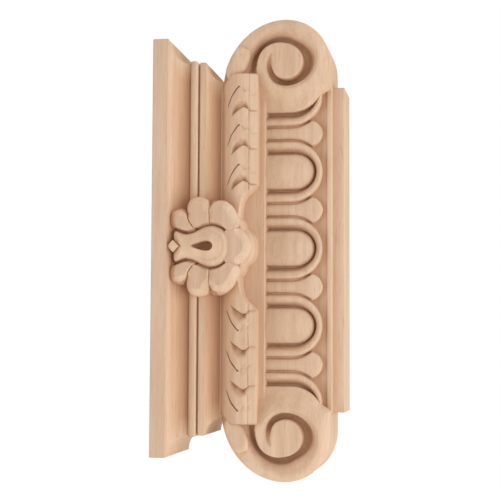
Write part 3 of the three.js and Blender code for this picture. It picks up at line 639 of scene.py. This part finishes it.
def petal(outline, centre, depth):
    """Flat, with a sloping facet along the rosette's outside, and sinking beside the tulip."""
    outline = rounded(outline)
    dense = resample(outline, 0.25)
    away = outline - centre
    outwards = np.array([centre[0], centre[1] - ROSETTE_CENTRE])
    outwards = outwards / np.linalg.norm(outwards)
    directions = dense - centre
    directions = directions / np.linalg.norm(directions, axis=1, keepdims=True)
    outside = dense[directions @ outwards > 0.35]

    def front(flat):
        seam = 1.5 * (1 - smooth(distance(flat, dense) / 0.9))
        facet = FACET_SLOPE * np.maximum(0, FACET_WIDTH - distance(flat, outside))
        beside = np.abs(flat[:, 0]) - tulip_half(flat[:, 1])
        fall = 4.6 * (1 - smooth(beside / 2.6)) + 1.0 * (1 - smooth(beside / 8))
        return depth - seam - facet - fall * (centre[0] != 0)

    rings = [np.c_[outline, np.full(len(outline), ROSETTE_BACK)]]
    for share in PETAL_RINGS:
        flat = centre + away * share
        rings.append(np.c_[flat, front(flat)])
    return loft("petal", rings, (*centre, float(front(np.array([centre]))[0])))


def plate():
    outline = rounded(PLATE + [(-x, z) for x, z in PLATE[-2:0:-1]], 150)
    away = outline - (0, 74.0)
    reach = np.linalg.norm(away, axis=1, keepdims=True)
    rings = []
    for inset, depth in [(-0.6, ROSETTE_BACK), (-0.6, 47.0), (-0.2, 52.5), (0.2, 56.2), (0.9, 58.8),
                         (1.8, 60.2), (3.0, 60.8)]:
        rings.append(np.c_[(0, 74.0) + away * (1 - inset / reach), np.full(len(outline), depth)])
    return loft("plate", rings)


def tulip():
    """The edge is crisp at the top and rounder lower down."""
    points = np.array(TULIP)
    t = np.r_[0, np.cumsum(np.linalg.norm(np.diff(points, axis=0), axis=1))]
    along = np.linspace(0, t[-1], 71)
    right = np.c_[table(list(zip(t, points[:, 0])))(along), table(list(zip(t, points[:, 1])))(along)]
    right[:, 0] = np.maximum(right[:, 0], 0)
    outline = np.vstack([right, right[::-1][1:-1] * (-1, 1)])
    edge = 2.0 + 3.2 * smooth((100 - outline[:, 1]) / 12)
    spine = (0.0, TULIP_FOOT + 13, TULIP_TOP - 7)
    return carved("tulip", outline, spine, TULIP_FRONT, edge, drop=4.6, dome=2.6, back=ROSETTE_BACK,
                  turns=8, inner=9)


def tulip_drop():
    """The drop cut into the tulip, wider below and pointed at the top."""
    low, long, wide = 82.0, 13.7, 3.4
    right = []
    for t in np.linspace(0, 1, 25):
        a = math.pi * t
        up = (1 - math.cos(a)) / 2
        right.append((wide * math.sin(a) * (1 - 0.62 * up) * (1 + 0.32 * (1 - up)), low + long * up))
    right = np.array(right)
    outline = np.vstack([right, right[::-1][1:-1] * (-1, 1)])
    centre = (0, low + 4.8)
    rings = []
    for grow, depth in [(0.72, 63.0), (0.9, 64.0), (1.0, 66.5), (1.0, 70.4), (1.08, 71.6), (1.3, 73.4)]:
        flat = (outline - centre) * grow + centre
        rings.append(np.c_[flat, np.full(len(flat), depth)])
    return loft("drop", rings)


def calyx():
    """A small pointed leaf over the notch at the tulip's top."""
    top, side, foot, middle = 111.0, 3.9, 103.7, 108.0
    outline = resample([(0, top), (-1.5, 110.2), (-side, middle), (-1.7, 105.9), (0, foot), (1.7, 105.9),
                        (side, middle), (1.5, 110.2)], 0.8)
    rings = []
    for share, depth in [(1.0, 50), (1.0, 71.2), (0.93, 71.8), (0.6, 72.2), (0.25, 72.5)]:
        rings.append(np.c_[(outline - (0, middle)) * share + (0, middle), np.full(len(outline), depth)])
    return loft("calyx", rings, (0, middle, 72.65))


def drill(x, z, radius):
    """The drilled end of a seam between petals."""
    turns = np.linspace(0, 2 * math.pi, 17)[:-1]
    rings = []
    for share, d in [(0.5, 63), (1.0, 63.6), (1.0, 70), (1.3, 76)]:
        rings.append([(x + radius * share * math.cos(t), z + radius * share * math.sin(t), d) for t in turns])
    return loft("drill", rings)


def rosette():
    left = [([(-x, z) for x, z in form[::-1]], (-at[0], at[1]), depth) for form, at, depth in PETALS[:-1]]
    wreath = join([petal(*form) for form in PETALS + left])
    whole = join([wreath, plate(), tulip()])
    holes = []
    for x, z, radius in [(11.3, 107.4, 0.8), (11.3, 93.4, 0.9)]:
        holes += [drill(x, z, radius), drill(-x, z, radius)]
    whole = cut(whole, [tulip_drop()] + holes)
    return join([whole, calyx()])


def capital():
    half = garland_half()
    garlands = cut(join(both(half)), both(field_cutter()))
    eggs = [egg(k * EGG_PITCH) for k in (-1, 0, 1)]
    shells = [shell(k * EGG_PITCH) for k in (-1, 0, 1)] + both(shell(2 * EGG_PITCH, HALF_SHELL_END))
    darts = [dart((k + 0.5) * EGG_PITCH) for k in (-2, -1, 0, 1)]
    whole = join([abacus(), neck()] + eggs + shells + darts + [volutes(), garlands, rosette()])
    wall = loft("wall", [[(-200, -50, d), (200, -50, d), (200, 200, d), (-200, 200, d)] for d in (-30, 0)])
    return cut(whole, [wall])


body = capital()
body.name = "carved_capital"
body.data.name = "carved_capital"
for face in body.data.polygons:
    face.use_smooth = True
body.data.set_sharp_from_angle(angle=math.radians(38))


# Bare pale wood, grain along X, with painted shade in its hollows, cavettos, fascia and petal middles; masks
# read the place on the block in metres

WHITE, BLACK = (1.0, 1.0, 1.0), (0.0, 0.0, 0.0)


def level(z):
    """A height of the capital as the frame counts it."""
    return (z - HEIGHT / 2) / 1000


class Wood:
    """The nodes of the wood, with short ways to make and link them."""

    def __init__(self, tree):
        self.tree = tree
        self.tree.nodes.clear()
        coordinates = self.node("ShaderNodeTexCoord").outputs
        self.place = coordinates["Object"]
        self.x, self.y, self.z = self.axes(self.place)
        self.facing = self.axes(coordinates["Normal"])[1]
        self.aside = self.maths("ABSOLUTE", self.x)

    def node(self, kind, **settings):
        made = self.tree.nodes.new(kind)
        for key, value in settings.items():
            setattr(made, key, value)
        return made

    def feed(self, socket, value):
        """Links a socket to what feeds it, or sets its number or colour."""
        if isinstance(value, bpy.types.NodeSocket):
            self.tree.links.new(value, socket)
        elif isinstance(value, tuple):
            socket.default_value = (*value, 1)
        else:
            socket.default_value = value

    def axes(self, vector):
        made = self.node("ShaderNodeSeparateXYZ")
        self.feed(made.inputs[0], vector)
        return tuple(made.outputs)

    def noise(self, waves, detail, roughness):
        """Noise with so many waves a metre along X, Y and Z."""
        mapping = self.node("ShaderNodeMapping")
        mapping.inputs["Scale"].default_value = waves
        self.feed(mapping.inputs["Vector"], self.place)
        made = self.node("ShaderNodeTexNoise")
        made.inputs["Scale"].default_value = 1.0
        made.inputs["Detail"].default_value = detail
        made.inputs["Roughness"].default_value = roughness
        self.feed(made.inputs["Vector"], mapping.outputs[0])
        return made.outputs["Fac"]

    def ramp(self, value, *stops):
        made = self.node("ShaderNodeValToRGB")
        elements = made.color_ramp.elements
        while len(elements) < len(stops):
            elements.new(0.5)
        for element, (position, colour) in zip(elements, stops):
            element.position = position
            element.color = (*colour, 1)
        self.feed(made.inputs["Fac"], value)
        return made.outputs["Color"]

    def mix(self, share, a, b, kind="MIX"):
        made = self.node("ShaderNodeMix", data_type="RGBA", blend_type=kind)
        for socket, value in ((made.inputs[0], share), (made.inputs[6], a), (made.inputs[7], b)):
            self.feed(socket, value)
        return made.outputs[2]

    def tone(self, colour, by, share):
        """The colour multiplied by another, in full where the share is 1."""
        return self.mix(share, colour, by, "MULTIPLY")

    def maths(self, kind, *values):
        made = self.node("ShaderNodeMath", operation=kind)
        for socket, value in zip(made.inputs, values):
            self.feed(socket, value)
        return made.outputs[0]

    def product(self, first, *others):
        for other in others:
            first = self.maths("MULTIPLY", first, other)
        return first

    def spread(self, value, start, end, low=0.0, high=1.0):
        """Runs from low to high as the value goes from start to end."""
        made = self.node("ShaderNodeMapRange")
        for name, number in (("From Min", start), ("From Max", end), ("To Min", low), ("To Max", high)):
            made.inputs[name].default_value = number
        self.feed(made.inputs["Value"], value)
        return made.outputs["Result"]

    def openness(self, reach, samples=6, inside=False):
        """How open the room before the surface is, or the wood behind it if inside."""
        made = self.node("ShaderNodeAmbientOcclusion", samples=samples, inside=inside)
        made.inputs["Distance"].default_value = reach
        return made.outputs["AO"]


def painted_shade_in_hollows(wood, colour):
    """Painted shade: narrow hollows are made deep brown and wide ones warmer than what stands out, where less
    light reaches into them.
    """
    narrow = ((0.0, (0.76, 0.46, 0.27)), (0.45, (0.92, 0.75, 0.59)), (0.85, WHITE))
    wide = ((0.42, (0.7, 0.42, 0.22)), (0.68, (0.88, 0.7, 0.52)), (0.93, WHITE))
    for reach, stops, share in ((0.012, narrow, 0.6), (0.032, wide, 0.3)):
        colour = wood.tone(colour, wood.ramp(wood.openness(reach), *stops), share)
    return colour


def painted_shade_in_cavettos(wood, colour):
    """Painted shade: darker deep in the two cavettos, where the overhang above and the mouldings below keep
    the light off, but not where they return along the ends.
    """
    mitre = ABACUS_HALF - ABACUS_DEPTH
    diagonal = wood.maths("ADD", wood.aside, wood.y)
    along_front = wood.spread(diagonal, (mitre - 0.5) / 1000, (mitre - 13) / 1000)
    frontal = wood.product(along_front, wood.maths("LESS_THAN", wood.y, -0.045))
    upper = (BEAD_TOP, BEAD_TOP + 11.5, 68)
    lower = (GARLAND_TOP + 0.6, LISTEL_BOTTOM + 0.4, 62)
    for low, high, depth in (upper, lower):
        sinking = wood.spread(wood.z, level(high), level(low))
        above = wood.maths("GREATER_THAN", wood.z, level(low - 0.4))
        sunk = wood.maths("GREATER_THAN", wood.y, -depth / 1000)
        there = wood.product(sinking, above, sunk)
        # painted shade in two layers, a warm brown and then a deeper brown towards the bottom
        for power, brown in ((0.6, (0.94, 0.64, 0.34)), (1.7, (0.5, 0.27, 0.14))):
            colour = wood.tone(colour, brown, wood.product(wood.maths("POWER", there, power), frontal))
    return colour


def painted_shade_on_fascia(wood, colour):
    """Painted shade: the fascia is made a shade duller than the mouldings under it, to take down the light
    that falls on it.
    """
    fascia = wood.maths("GREATER_THAN", wood.z, level(FASCIA_BOTTOM + 0.3))
    return wood.tone(colour, (0.86, 0.85, 0.87), fascia)


def painted_shade_on_petals(wood, colour):
    """Painted shade: the flat, front-facing middles of the petals are made a little darker than their facets
    and the tulip, as if less light fell on them.
    """
    flat = wood.spread(wood.facing, -0.95, -0.985)
    behind_tulip = wood.spread(wood.y, -0.0708, -0.0701)
    beside = wood.maths("LESS_THAN", wood.aside, 0.034)
    over_strip = wood.maths("GREATER_THAN", wood.z, level(56.8))
    under_fascia = wood.maths("LESS_THAN", wood.z, level(FASCIA_BOTTOM))
    standing_out = wood.maths("LESS_THAN", wood.y, -0.062)
    there = wood.product(flat, behind_tulip, beside, over_strip, under_fascia, standing_out)
    return wood.tone(colour, (0.85, 0.81, 0.8), there)


def pale_edges(wood, colour):
    """Edges are rubbed a little paler."""
    edge = wood.ramp(wood.openness(0.0016, samples=4, inside=True), (0.2, BLACK), (0.75, WHITE))
    return wood.mix(wood.maths("MULTIPLY", edge, 0.28), colour, (0.86, 0.68, 0.52))


def relief(wood, streak, fibre):
    """Softened edges, chisel ripple and raised grain."""
    bevel = wood.node("ShaderNodeBevel", samples=6)
    bevel.inputs["Radius"].default_value = 0.0007
    ripple = wood.noise((45, 60, 620), 2.0, 0.5)
    grain = wood.maths("ADD", wood.product(streak, 0.35), wood.product(fibre, 0.15))
    bump = wood.node("ShaderNodeBump")
    bump.inputs["Strength"].default_value = 0.35
    bump.inputs["Distance"].default_value = 0.0003
    wood.feed(bump.inputs["Height"], wood.maths("ADD", wood.product(ripple, 0.6), grain))
    wood.feed(bump.inputs["Normal"], bevel.outputs[0])
    return bump.outputs[0]


def wood_material():
    material = bpy.data.materials.new("bare_wood")
    material.use_nodes = True
    wood = Wood(material.node_tree)
    broad = wood.noise((5, 26, 26), 3.0, 0.5)
    streak = wood.noise((14, 210, 210), 4.0, 0.6)
    fibre = wood.noise((60, 1400, 1400), 2.0, 0.5)
    pore = wood.noise((95, 1500, 1500), 1.0, 0.4)
    colour = wood.ramp(broad, (0.3, (0.6, 0.41, 0.28)), (0.5, (0.664, 0.477, 0.345)),
                       (0.7, (0.722, 0.559, 0.436)))
    colour = wood.tone(colour, wood.ramp(streak, (0.32, (0.8, 0.72, 0.63)), (0.6, WHITE)), 0.8)
    colour = wood.tone(colour, wood.ramp(fibre, (0.3, (0.82, 0.77, 0.72)), (0.55, WHITE)), 0.5)
    colour = wood.tone(colour, wood.ramp(pore, (0.62, WHITE), (0.74, (0.7, 0.58, 0.46))), 0.6)
    # Painted shade goes into the colour in the hollows, the cavettos, the fascia and the petals, then the
    # edges are made paler
    for change in (painted_shade_in_hollows, painted_shade_in_cavettos, painted_shade_on_fascia, painted_shade_on_petals, pale_edges):
        colour = change(wood, colour)

    shader = wood.node("ShaderNodeBsdfPrincipled")
    shader.inputs["Metallic"].default_value = 0.0
    shader.inputs["IOR"].default_value = 1.45
    shader.inputs["Specular IOR Level"].default_value = 0.18
    shader.inputs["Sheen Weight"].default_value = 0.16
    shader.inputs["Sheen Tint"].default_value = (1.0, 0.9, 0.8, 1)
    shader.inputs["Sheen Roughness"].default_value = 0.45
    wood.feed(shader.inputs["Base Color"], colour)
    wood.feed(shader.inputs["Roughness"], wood.spread(streak, 0.0, 1.0, 0.56, 0.72))
    wood.feed(shader.inputs["Normal"], relief(wood, streak, fibre))
    out = wood.node("ShaderNodeOutputMaterial")
    wood.feed(out.inputs["Surface"], shader.outputs[0])
    return material


body.data.materials.clear()
body.data.materials.append(wood_material())
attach(body, "root")
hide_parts("capital")


# Floor, soft studio light and the camera

FLOOR_HALF, FLOOR_Z = 4, -1.6
LIT = (0, -0.03, 0)
CAMERA_PLACE, CAMERA_LENS = (-0.0644, -0.8772, -0.1449), 92.23
CAMERA_TURN, CAMERA_NOD, CAMERA_ROLL = 4.35, -9.89, -0.48


def plain(name, colour, roughness):
    material = bpy.data.materials.new(name)
    material.use_nodes = True
    shader = material.node_tree.nodes["Principled BSDF"]
    shader.inputs["Base Color"].default_value = (*colour, 1)
    shader.inputs["Roughness"].default_value = roughness
    return material


def pale_floor():
    corners = [(-FLOOR_HALF, -FLOOR_HALF), (FLOOR_HALF, -FLOOR_HALF), (FLOOR_HALF, FLOOR_HALF),
               (-FLOOR_HALF, FLOOR_HALF)]
    mesh = bpy.data.meshes.new("floor")
    mesh.from_pydata([(x, y, FLOOR_Z) for x, y in corners], [], [(0, 1, 2, 3)])
    mesh.materials.append(plain("pale_floor", (0.86, 0.86, 0.85), 0.8))
    floor = bpy.data.objects.new("floor", mesh)
    bpy.context.scene.collection.objects.link(floor)
    return floor


def studio():
    """A dim warm surround that looks white where it is seen."""
    world = bpy.data.worlds.new("studio")
    world.use_nodes = True
    tree = world.node_tree
    dim = tree.nodes["Background"]
    dim.inputs["Color"].default_value = (1.0, 0.86, 0.73, 1)
    dim.inputs["Strength"].default_value = 0.54
    white = tree.nodes.new("ShaderNodeBackground")
    white.inputs["Color"].default_value = (1.0, 1.0, 1.0, 1)
    choice = tree.nodes.new("ShaderNodeMixShader")
    path = tree.nodes.new("ShaderNodeLightPath")
    tree.links.new(path.outputs["Is Camera Ray"], choice.inputs[0])
    tree.links.new(dim.outputs[0], choice.inputs[1])
    tree.links.new(white.outputs[0], choice.inputs[2])
    tree.links.new(choice.outputs[0], tree.nodes["World Output"].inputs["Surface"])
    return world


def area_light(name, place, size, power, colour):
    data = bpy.data.lights.new(name, "AREA")
    data.shape = "SQUARE"
    data.size = size
    data.energy = power
    data.color = colour
    lamp = bpy.data.objects.new(name, data)
    lamp.location = place
    lamp.rotation_euler = (Vector(LIT) - Vector(place)).to_track_quat("-Z", "Y").to_euler()
    bpy.context.scene.collection.objects.link(lamp)


def camera():
    """Almost square to the front from a little below, with the capital turned on its end."""
    a, b, c = math.radians(CAMERA_TURN), math.radians(CAMERA_NOD), math.radians(CAMERA_ROLL)
    turn = Matrix(((math.cos(a), -math.sin(a), 0), (math.sin(a), math.cos(a), 0), (0, 0, 1)))
    nod = Matrix(((1, 0, 0), (0, math.cos(b), -math.sin(b)), (0, math.sin(b), math.cos(b))))
    roll = Matrix(((math.cos(c), 0, math.sin(c)), (0, 1, 0), (-math.sin(c), 0, math.cos(c))))
    right, forward, up = roll @ nod @ turn
    data = bpy.data.cameras.new("camera")
    data.lens = CAMERA_LENS
    data.sensor_width = 36
    data.clip_start = 0.01
    seen = bpy.data.objects.new("camera", data)
    axes = Matrix((-up, right, -forward)).transposed().to_4x4()
    seen.matrix_world = Matrix.Translation(CAMERA_PLACE) @ axes
    bpy.context.scene.collection.objects.link(seen)
    bpy.context.scene.camera = seen


pale_floor()
bpy.context.scene.world = studio()
area_light("low", (-0.25, -0.55, -0.95), 1.0, 7.9, (0.95, 0.98, 1.0))
area_light("left", (-1.05, -0.2, -0.4), 0.8, 4.0, (0.97, 0.98, 1.0))
area_light("right", (1.05, -0.2, -0.4), 0.8, 4.0, (0.97, 0.98, 1.0))
area_light("high", (-0.1, -0.5, 0.95), 1.0, 7.4, (0.97, 0.98, 1.0))
camera()
bpy.context.scene.view_settings.view_transform = "Standard"
